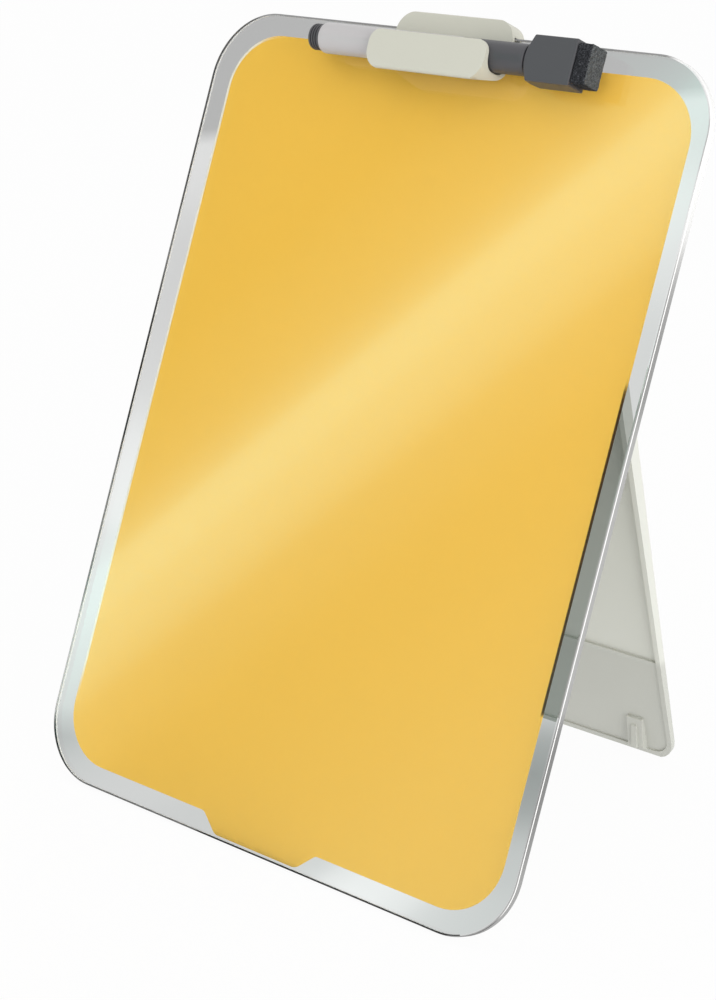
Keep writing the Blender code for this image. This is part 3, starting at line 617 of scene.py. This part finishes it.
CLEAR_GLASS, tree, shader, place = finish("clear_glass")
shader.inputs["Base Color"].default_value = GLASS_COLOUR
shader.inputs["Transmission Weight"].default_value = 1.0
shader.inputs["IOR"].default_value = GLASS_IOR
wipes = noise(tree, place, WIPES_SCALE, detail=4.0)
join(tree, remap(tree, wipes, target=(0.0, WIPES_HAZE)), shader.inputs["Roughness"])
clear = new_node(tree, "ShaderNodeBsdfTransparent", color=SHADOW_TINT).outputs[0]
path = new_node(tree, "ShaderNodeLightPath").outputs
swap = mix_shaders(tree, path["Is Shadow Ray"], shader.outputs[0], clear)
join(tree, swap, tree.nodes["Material Output"].inputs["Surface"])

# %% [markdown]
# The edge of the pane is ground and its arrises are polished. Each shows something else of the
# studio: a white line down the right, dark lines round the left and the top, black under the
# tab. The lines are too thin for their reflections to be worth tracing, so the tones are laid
# along the pane's width and height.

# %% Painted reflections round the edge, by height up the board or by place across its foot
# These tones are painted reflections of the studio, and the white band is a painted highlight.
LEFT_TONES = [(0.0, 0.02), (0.014, 0.02), (0.024, 0.55), (0.05, 0.55), (0.07, 0.22),
              (0.105, 0.25), (0.125, 0.03), (0.16, 0.03), (0.19, 0.20), (0.21, 0.10),
              (0.272, 0.09), (0.2735, 0.28), (0.28, 0.28)]
FOOT_TONES = [(-0.108, 0.03), (-0.085, 0.12), (-0.030, 0.12), (-0.022, 0.0), (0.020, 0.0),
              (0.030, 0.03), (0.108, 0.03)]
RIGHT_LINE_TONES = [(0.0, 0.04), (0.009, 0.06), (0.018, 0.86), (0.28, 0.86)]
RIGHT_FACE_TONES = [(0.0, 0.31), (0.018, 0.31), (0.037, 0.24), (0.052, 0.20), (0.062, 0.20),
                    (0.070, 0.23), (0.080, 0.35), (0.157, 0.36), (0.175, 0.26),
                    (0.196, 0.28), (0.213, 0.45), (0.231, 0.74), (0.28, 0.78)]
FOOT_TOP = 0.0045
FOOT_TOP_BLUR = 0.001
RIGHT_FROM = 0.085
RIGHT_BLUR = 0.005
PAINTED_WHITE_BAND = 0.90
WHITE_BAND_DEPTH = 0.0028
LINE_BLUR = 0.0003


def right_instead(tree, axes, tone, right_tones):
    """Lay the tones of the right-hand side over another tone."""
    on_right = remap(tree, axes["X"], (RIGHT_FROM, RIGHT_FROM + RIGHT_BLUR))
    return choose(tree, on_right, tone, curve(tree, axes["Z"], right_tones))


def arris_painted_reflection(tree, place):
    """Painted reflections: left and top by height, the foot by its place across, and the
    right-hand line.
    """
    axes = axes_of(tree, place)
    at_foot = remap(tree, axes["Z"], (FOOT_TOP, FOOT_TOP - FOOT_TOP_BLUR))
    tone = choose(tree, at_foot, curve(tree, axes["Z"], LEFT_TONES),
                  curve(tree, axes["X"], FOOT_TONES))
    return right_instead(tree, axes, tone, RIGHT_LINE_TONES)


def ground_edge_painted_reflection(tree, place):
    """Painted reflections: left by height with a painted white highlight along its back, and the
    right-hand face.
    """
    axes = axes_of(tree, place)
    depth = vector_maths(tree, "DOT_PRODUCT", place, INTO_GLASS)["Value"]
    band_start = GLASS_FRONT + WHITE_BAND_DEPTH
    band = remap(tree, depth, (band_start, band_start + LINE_BLUR))
    tone = choose(tree, band, curve(tree, axes["Z"], LEFT_TONES), PAINTED_WHITE_BAND)
    return right_instead(tree, axes, tone, RIGHT_FACE_TONES)


# %% The polished arris and the ground edge
SCRATCH_SCALE = 900.0
SCRATCH_BUMP = 0.2
SCRATCH_DEPTH = 0.00001
SPECKLE = (0.93, 1.07)
EDGE_SPECULAR = 0.1


def grey_of(tree, value):
    """A grey whose three channels are one value."""
    return new_node(tree, "ShaderNodeCombineColor", red=value, green=value,
                    blue=value).outputs[0]


def edge_finish(name, painted_tone_of, roughness):
    """A satin edge with fine scratches, in a painted tone that a function gives."""
    made, tree, shader, place = finish(name)
    scratches = noise(tree, place, SCRATCH_SCALE, detail=3.0)
    speckle = remap(tree, scratches, target=SPECKLE)
    worn = maths(tree, "MULTIPLY", painted_tone_of(tree, place), speckle)
    join(tree, grey_of(tree, worn), shader.inputs["Base Color"])
    shader.inputs["Roughness"].default_value = roughness
    shader.inputs["Specular IOR Level"].default_value = EDGE_SPECULAR
    bump(tree, shader, scratches, SCRATCH_BUMP, SCRATCH_DEPTH)
    return made


POLISHED_ARRIS = edge_finish("polished_arris", arris_painted_reflection, roughness=0.3)
GROUND_EDGE = edge_finish("ground_glass_edge", ground_edge_painted_reflection, roughness=0.5)
print("glass ready")

# %% [markdown]
# ## The coloured sheet
#
# The sheet is smooth enamel on thin steel, so it has almost no texture: a slight waviness from
# the spray, and a colour that is a little deeper in places. Along its edge two lines are
# painted: a painted highlight on the left, a cream line, and painted shade on the right, nearly
# black, where the stand is behind it.

# %% Where a point of the sheet lies in its outline
SHEET_HALF = Vector((0.10025, 0.14075, 0.0))
SHEET_CORNER = 0.021


def inside_outline(tree, place, axes):
    """How far a point of the sheet lies inside its rounded outline, in metres."""
    up = vector_maths(tree, "DOT_PRODUCT", place, UP_GLASS)["Value"]
    height = maths(tree, "SUBTRACT", up, GLASS_FOOT + HALF_GLASS_HEIGHT)
    flat = new_node(tree, "ShaderNodeCombineXYZ", x=axes["X"], y=height).outputs[0]
    mirrored = vector_maths(tree, "ABSOLUTE", flat)["Vector"]
    corner_middle = SHEET_HALF - Vector((SHEET_CORNER, SHEET_CORNER, 0.0))
    past = vector_maths(tree, "SUBTRACT", mirrored, corner_middle)["Vector"]
    beyond = vector_maths(tree, "MAXIMUM", past, (0.0, 0.0, 0.0))["Vector"]
    length = vector_maths(tree, "LENGTH", beyond)["Value"]
    return maths(tree, "SUBTRACT", SHEET_CORNER, length)


# %% Yellow enamel, with a painted highlight and painted shade along its edge
YELLOW = (0.980, 0.590, 0.094)
ENAMEL_WAVE = 0.0012
ENAMEL_MOTTLE = 0.006
ENAMEL_ROUGHNESS = 0.55
ENAMEL_SPECULAR = 0.05
PAINTED_EDGE_HIGHLIGHT = (0.93, 0.88, 0.76, 1.0)
PALE_WIDTH = 0.0011
PALE_ACROSS = [(-0.101, 1.0), (-0.092, 0.9), (-0.075, 0.0), (0.101, 0.0)]
PALE_UP = [(0.0, 0.0), (0.022, 0.0), (0.045, 1.0), (0.28, 1.0)]
PAINTED_EDGE_SHADE = (0.06, 0.020, 0.0, 1.0)
DARK_FROM = 0.0994
DARK_UP = [(0.0, 0.0), (0.0725, 0.0), (0.0735, 1.0), (0.168, 1.0), (0.174, 0.5), (0.179, 0.0),
           (0.28, 0.0)]

YELLOW_ENAMEL, tree, shader, place = finish("yellow_enamel")
skin = grained(tree, place, YELLOW, ENAMEL_WAVE, ENAMEL_MOTTLE, ENAMEL_ROUGHNESS)
axes = axes_of(tree, place)
across, height = axes["X"], axes["Z"]
# Painted highlight along the left of the edge, and painted shade along the right where the stand
# is behind.
rim = remap(tree, inside_outline(tree, place, axes), (PALE_WIDTH, PALE_WIDTH - LINE_BLUR))
on_left = maths(tree, "MULTIPLY", rim, curve(tree, across, PALE_ACROSS))
pale = maths(tree, "MULTIPLY", on_left, curve(tree, height, PALE_UP))
on_right = remap(tree, across, (DARK_FROM, DARK_FROM + LINE_BLUR))
dark = maths(tree, "MULTIPLY", on_right, curve(tree, height, DARK_UP))
colour = mix_colours(tree, pale, skin["Colour"], PAINTED_EDGE_HIGHLIGHT)
colour = mix_colours(tree, dark, colour, PAINTED_EDGE_SHADE)
join(tree, colour, shader.inputs["Base Color"])
join(tree, skin["Roughness"], shader.inputs["Roughness"])
shader.inputs["Specular IOR Level"].default_value = ENAMEL_SPECULAR

# %% [markdown]
# ## Small finishes
#
# The tape is white foam with fine closed bubbles. The hinge rod is drawn steel, whose
# lines run along it. The eraser is felt, the ink reservoir wound fibre, and the nib the
# same fibre soaked in ink.

# %% Foam tape
BUBBLES_SCALE = 1800.0
FOAM_GREYS = (0.70, 0.86)
FOAM_ROUGHNESS = 0.8
FOAM_BUMP = 0.4
FOAM_DEPTH = 0.00005

FOAM_TAPE, tree, shader, place = finish("foam_tape")
bubbles = new_node(tree, "ShaderNodeTexVoronoi", vector=place, scale=BUBBLES_SCALE)
hollows = bubbles.outputs["Distance"]
join(tree, grey_of(tree, remap(tree, hollows, target=FOAM_GREYS)), shader.inputs["Base Color"])
shader.inputs["Roughness"].default_value = FOAM_ROUGHNESS
bump(tree, shader, hollows, FOAM_BUMP, FOAM_DEPTH)

# %% Drawn steel
DRAWN_OUT = (0.02, 1.0, 1.0)
LINES_SCALE = 6000.0
STEEL_ROUGHNESS = (0.22, 0.42)
STEEL_COLOUR = (0.62, 0.63, 0.65, 1.0)
LINES_BUMP = 0.2
LINES_DEPTH = 0.00001

STEEL, tree, shader, place = finish("zinc_plated_steel")
stretch = new_node(tree, "ShaderNodeMapping", vector_type="POINT", vector=place,
                   scale=DRAWN_OUT)
lines = noise(tree, stretch.outputs[0], LINES_SCALE, detail=2.0)
join(tree, remap(tree, lines, target=STEEL_ROUGHNESS), shader.inputs["Roughness"])
shader.inputs["Base Color"].default_value = STEEL_COLOUR
shader.inputs["Metallic"].default_value = 1.0
bump(tree, shader, lines, LINES_BUMP, LINES_DEPTH)

# %% Felt, wound fibre and inked fibre
FIBRE_ROUGHNESS = 0.95
FIBRE_SPECULAR = 0.2
FIBRE_BUMP = 0.9


def fibrous(name, dark, pale, pale_share, hair_size, depth):
    """A finish of short hairs, dark and pale."""
    made, tree, shader, place = finish(name)
    mat = new_node(tree, "ShaderNodeGroup", node_tree=fibre, vector=place,
                   hair_size=hair_size, dark=(*dark, 1.0), pale=(*pale, 1.0),
                   pale_share=pale_share)
    join(tree, mat.outputs["Colour"], shader.inputs["Base Color"])
    shader.inputs["Roughness"].default_value = FIBRE_ROUGHNESS
    shader.inputs["Specular IOR Level"].default_value = FIBRE_SPECULAR
    bump(tree, shader, mat.outputs["Height"], FIBRE_BUMP, depth)
    return made


FELT = fibrous("eraser_felt", (0.012, 0.013, 0.015), (0.11, 0.115, 0.13),
               pale_share=0.27, hair_size=0.0005, depth=0.0003)
FELT_PAINTED_LIGHT_END = fibrous("eraser_felt_painted_light_end", (0.030, 0.032, 0.034), (0.16, 0.17, 0.175),
                   pale_share=0.33, hair_size=0.0005, depth=0.0003)
WOUND_FIBRE = fibrous("white_fibre", (0.55, 0.54, 0.50), (0.86, 0.85, 0.82),
                      pale_share=0.4, hair_size=0.0004, depth=0.0002)
INKED_FELT = fibrous("inked_felt", (0.01, 0.01, 0.012), (0.05, 0.05, 0.055),
                     pale_share=0.3, hair_size=0.0003, depth=0.0001)
print("fibres ready")

# %% [markdown]
# ## Modelling by hand, in code
#
# In Blender's window one clicks on the faces to work on. In a script the clicks are
# replaced by a test on each face's or edge's place. These helpers make one piece active,
# pick by such a test, and put a finished piece where it belongs.

# %% Helpers for picking


def take(piece):
    """Make a piece the only selected one, and the active one."""
    bpy.ops.object.select_all(action="DESELECT")
    piece.select_set(True)
    bpy.context.view_layer.objects.active = piece


def edit(piece, kind, action):
    """Enter edit mode for vertices, edges or faces, with all or none of them picked."""
    take(piece)
    bpy.ops.object.mode_set(mode="EDIT")
    bpy.ops.mesh.select_mode(type=kind)
    bpy.ops.mesh.select_all(action=action)


def back_to_object():
    """Leave edit mode."""
    bpy.ops.object.mode_set(mode="OBJECT")


def pick_faces(piece, wanted):
    """Enter edit mode with only the faces picked whose (middle, normal) pass a test."""
    edit(piece, "FACE", "DESELECT")
    back_to_object()
    for face in piece.data.polygons:
        face.select = wanted(face.center, face.normal)
    bpy.ops.object.mode_set(mode="EDIT")


def pick_edges(piece, wanted):
    """Enter edit mode with only the edges picked whose two ends pass a test."""
    edit(piece, "EDGE", "DESELECT")
    back_to_object()
    points = piece.data.vertices
    for edge in piece.data.edges:
        edge.select = wanted(points[edge.vertices[0]].co, points[edge.vertices[1]].co)
    bpy.ops.object.mode_set(mode="EDIT")


# %% Helpers for shaping


def block(name, low, high):
    """A box between two corners, with its place in its mesh."""
    bpy.ops.object.select_all(action="DESELECT")
    bpy.ops.mesh.primitive_cube_add(size=1.0, location=(low + high) / 2)
    piece = bpy.context.active_object
    piece.name = name
    piece.data.name = name
    piece.scale = high - low
    bpy.ops.object.transform_apply(location=True, rotation=True, scale=True)
    return piece


def modify(piece, name, kind, **values):
    """Give a piece a modifier with these settings, and apply it."""
    take(piece)
    change = piece.modifiers.new(name, kind)
    for setting, value in values.items():
        setattr(change, setting, value)
    bpy.ops.object.modifier_apply(modifier=change.name)


def round_edges(piece, radius, segments, degrees):
    """Round every edge that is sharper than an angle."""
    modify(piece, "rounding", "BEVEL", width=radius, segments=segments, limit_method="ANGLE",
           angle_limit=math.radians(degrees), use_clamp_overlap=True)


def smooth(piece, degrees):
    """Smooth shading, but keep edges sharper than an angle."""
    take(piece)
    bpy.ops.object.shade_smooth_by_angle(angle=math.radians(degrees))


# %% Helpers for putting a piece in its place


def dress(piece, node, body, materials):
    """Give a piece its materials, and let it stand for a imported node."""
    for material in materials:
        piece.data.materials.append(material)
    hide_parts(node)
    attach(piece, body)
    print(piece.name, len(piece.data.polygons), "faces, stands for", node)


def settle(piece, node, body, materials):
    """Lean a bench piece into its place, and dress it."""
    piece.data.transform(BENCH)
    piece.data.update()
    dress(piece, node, body, materials)


# %% [markdown]
# ## The glass panel
#
# A flat pane with generous round corners. A plain box is bevelled twice: first its four upright
# edges, wide, which makes the corners, then the outline of each face, narrow, which makes the
# polished arrises. The edge faces are ground, so they get a satin material of their own. The
# arrises and the edge faces carry painted reflections of the studio. On the right only the front
# arris's outermost facet takes the polished finish, whose painted highlight draws a thin line
# there.

# %% Glass pane
CORNER_RADIUS = 0.0255
CORNER_SEGMENTS = 28
FRONT_ARRIS = 0.0008
BACK_ARRIS = 0.0005
ARRIS_SEGMENTS = 3
PANE_SMOOTH_DEGREES = 12.0
NEAR = 0.00001

low, high = bench_box("glass_panel")
pane = block("glass_pane", low, high)
pick_edges(pane, lambda a, b: abs(a.y - b.y) > NEAR)
bpy.ops.mesh.bevel(offset=CORNER_RADIUS, segments=CORNER_SEGMENTS, affect="EDGES")
back_to_object()
for face_y, arris in ((low.y, FRONT_ARRIS), (high.y, BACK_ARRIS)):
    pick_edges(pane, lambda a, b: max(abs(a.y - face_y), abs(b.y - face_y)) < NEAR)
    bpy.ops.mesh.bevel(offset=arris, segments=ARRIS_SEGMENTS, affect="EDGES")
    back_to_object()
smooth(pane, PANE_SMOOTH_DEGREES)
settle(pane, "glass_panel", "board", [CLEAR_GLASS, GROUND_EDGE, POLISHED_ARRIS])

# %% Give the pane's faces their finish, by how far they look inwards and to the right
GROUND, POLISHED = 1, 2
RIGHT_SIDE = 0.1
SLANTS_ON_RIGHT = [(POLISHED, -0.6, -0.2), (GROUND, -0.8, 0.99)]
SLANTS_ELSEWHERE = [(POLISHED, -0.99, -0.2), (GROUND, -0.2, 0.99)]

for face in pane.data.polygons:
    inwards = face.normal.dot(INTO_GLASS)
    on_right = face.normal.dot(ACROSS) > RIGHT_SIDE
    for index, least, most in SLANTS_ON_RIGHT if on_right else SLANTS_ELSEWHERE:
        if least < inwards < most:
            face.material_index = index
            break

# %% [markdown]
# ## Moulded and turned pieces
#
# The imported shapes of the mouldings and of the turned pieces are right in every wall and
# opening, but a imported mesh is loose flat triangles. A copy is welded, its flat areas are
# turned back into whole faces, and it gets smooth shading. The stand, the clip and the
# back cover have knife-sharp edges that show, so these also get the small round that a
# mould leaves. That round is what draws the pale lines along the edges in the picture.

# %% Weld a copy and round its edges
WELD_DISTANCE = 0.000005
FLAT_DEGREES = 1.0
ROUND_FROM_DEGREES = 38.0
ROUND_SEGMENTS = 3
COPY_SMOOTH_DEGREES = 40.0


def rounded_copy(node, name, radius):
    """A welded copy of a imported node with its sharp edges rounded."""
    copy = bpy.data.objects.new(name, frame["nodes"][node].data.copy())
    copy.data.name = name
    copy.data.materials.clear()
    bpy.context.scene.collection.objects.link(copy)
    edit(copy, "VERT", "SELECT")
    bpy.ops.mesh.remove_doubles(threshold=WELD_DISTANCE)
    bpy.ops.mesh.normals_make_consistent(inside=False)
    bpy.ops.mesh.dissolve_limited(angle_limit=math.radians(FLAT_DEGREES))
    back_to_object()
    if radius:
        round_edges(copy, radius, ROUND_SEGMENTS, ROUND_FROM_DEGREES)
    smooth(copy, COPY_SMOOTH_DEGREES)
    modify(copy, "weights", "WEIGHTED_NORMAL", keep_sharp=True)
    return copy


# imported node, name, body, slot, radius of the round, material
COPIES = [
    ("stand_panel", "folding_stand", "stand", "warm_white_plastic", 0.0004, STAND_PAINTED_LIGHT_PLASTIC),
    ("clip_body", "edge_clip", "clip", "warm_white_plastic", 0.0008, WHITE_PLASTIC),
    ("back_cover", "rear_cover", "board", "warm_white_plastic", 0.0002, WHITE_PLASTIC),
    ("eraser_holder", "holder_block", "cap", "charcoal_plastic", 0.0, CHARCOAL_PLASTIC),
    ("marker_barrel", "barrel_tube", "marker", "light_grey_plastic", 0.0, GREY_PLASTIC),
    ("marker_cap", "cap_shell", "cap", "charcoal_plastic", 0.0, CHARCOAL_PLASTIC),
    ("nib_holder", "nib_cone", "marker", "light_grey_plastic", 0.0, GREY_PLASTIC),
    ("marker_nib", "felt_nib", "marker", "inked_felt", 0.0, INKED_FELT),
    ("hinge_rod", "steel_rod", "board", "zinc_plated_steel", 0.0, STEEL),
]
for node, name, body, slot, radius, material in COPIES:
    dress(rounded_copy(node, name, radius), node, body, [material])

# %% [markdown]
# ## The marker's end plug
#
# The plug is a turned shape: a stem that is pressed into the barrel, and a head with three
# grooves for the fingers. It starts as the stem, a short cylinder. Its end face is then
# scaled and pulled out, step by step, which is how one would draw the grooves by hand.

# %% The plug's stem
PLUG_SIDES = 64
STEM_RADIUS = 0.0037
STEM_LENGTH = 0.006

low, high = bench_box("marker_end_plug")
axis = (low + high) / 2
bpy.ops.object.select_all(action="DESELECT")
bpy.ops.mesh.primitive_cylinder_add(
    vertices=PLUG_SIDES, radius=STEM_RADIUS, depth=STEM_LENGTH,
    location=(high.x - STEM_LENGTH / 2, axis.y, axis.z), rotation=(0.0, math.pi / 2, 0.0))
plug = bpy.context.active_object
plug.name = "ribbed_plug"
plug.data.name = "ribbed_plug"
bpy.ops.object.transform_apply(location=True, rotation=True, scale=True)

# %% Steps of the plug's head, each a radius and a width
GROOVE_RADIUS = 0.0041
GROOVE_WIDTH = 0.0005
RIB_WIDTHS = (0.0013, 0.0006, 0.0006, 0.0010)

head_radius = (high.z - low.z) / 2
steps = [(head_radius, RIB_WIDTHS[0])]
for rib_width in RIB_WIDTHS[1:]:
    steps += [(GROOVE_RADIUS, GROOVE_WIDTH), (head_radius, rib_width)]
head_length = high.x - STEM_LENGTH - low.x
spare = head_length - sum(width for radius, width in steps)
steps[-1] = (head_radius, steps[-1][1] + spare)
print("plug head", round(head_length * 1000, 2), "mm, spare", round(spare * 1000, 2), "mm")

# %% Ribbed plug
END_FACING = -0.9
PLUG_END_ROUND = 0.0008
PLUG_END_SEGMENTS = 4
PLUG_EDGE_ROUND = 0.00012
PLUG_EDGE_SEGMENTS = 2
PLUG_ROUND_FROM_DEGREES = 50.0
PLUG_SMOOTH_DEGREES = 40.0

pick_faces(plug, lambda middle, normal: normal.x < END_FACING)
radius = STEM_RADIUS
for next_radius, width in steps:
    bpy.ops.mesh.extrude_region_move(TRANSFORM_OT_translate={"value": (0.0, 0.0, 0.0)})
    share = next_radius / radius
    bpy.ops.transform.resize(value=(1.0, share, share), center_override=axis)
    bpy.ops.mesh.extrude_region_move(TRANSFORM_OT_translate={"value": (-width, 0.0, 0.0)})
    radius = next_radius
back_to_object()
pick_edges(plug, lambda a, b: max(a.x, b.x) < low.x + NEAR)
bpy.ops.mesh.bevel(offset=PLUG_END_ROUND, segments=PLUG_END_SEGMENTS, affect="EDGES")
back_to_object()
round_edges(plug, PLUG_EDGE_ROUND, PLUG_EDGE_SEGMENTS, PLUG_ROUND_FROM_DEGREES)
smooth(plug, PLUG_SMOOTH_DEGREES)
settle(plug, "marker_end_plug", "marker", [CHARCOAL_PLASTIC])

# %% [markdown]
# ## The eraser pad
#
# Felt is never a sharp block: it is fuzzy at its edges and faintly lumpy. A box is cut into a
# fine grid, its edges are rounded, and two displacements push the surface about. Its end, which
# faces the right-hand lamp, gets a paler copy of the felt: painted light.

# %% Felt pad
SIDE_ROOM = 0.00015
END_ROOM = 0.0003
PAD_EDGE_ROUND = 0.0006
PAD_EDGE_SEGMENTS = 2
PAD_GRID = 0.00022
PUSHES = [("lumps", 0.0016, 0.00035), ("fuzz", 0.0004, 0.00025)]
PUSH_MID_LEVEL = 0.62
PAD_END_FACING = 0.6

low, high = bench_box("eraser_pad")
pad = block("felt_pad", low + Vector((0.0, SIDE_ROOM, SIDE_ROOM)),
            high - Vector((END_ROOM, SIDE_ROOM, SIDE_ROOM)))
edit(pad, "EDGE", "SELECT")
bpy.ops.mesh.bevel(offset=PAD_EDGE_ROUND, segments=PAD_EDGE_SEGMENTS, affect="EDGES")
back_to_object()
modify(pad, "grid", "REMESH", mode="VOXEL", voxel_size=PAD_GRID)
for name, size, strength in PUSHES:
    cloud = bpy.data.textures.new(name, "CLOUDS")
    cloud.noise_scale = size
    modify(pad, name, "DISPLACE", texture=cloud, texture_coords="LOCAL", strength=strength,
           mid_level=PUSH_MID_LEVEL)
bpy.ops.object.shade_smooth()
settle(pad, "eraser_pad", "cap", [FELT, FELT_PAINTED_LIGHT_END])
# The end faces get the paler felt, painted light.
for face in pad.data.polygons:
    face.material_index = 1 if face.normal.dot(ACROSS) > PAD_END_FACING else 0

# %% [markdown]
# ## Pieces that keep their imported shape
#
# The sheet, the tapes and the pieces inside the marker are flat or plain, and their packed
# meshes are right as they are. They only get their materials.

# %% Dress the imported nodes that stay
KEPT = {
    "colour_sheet": YELLOW_ENAMEL,
    "cover_tape_top": FOAM_TAPE,
    "cover_tape_foot": FOAM_TAPE,
    "cover_tape_left": FOAM_TAPE,
    "cover_tape_right": FOAM_TAPE,
    "clip_grip_pad": RUBBER,
    "ink_reservoir": WOUND_FIBRE,
    "cap_seal": RUBBER,
}
for node, material in KEPT.items():
    for slot in frame["nodes"][node].material_slots:
        slot.material = material
print("kept", len(KEPT), "packed nodes")
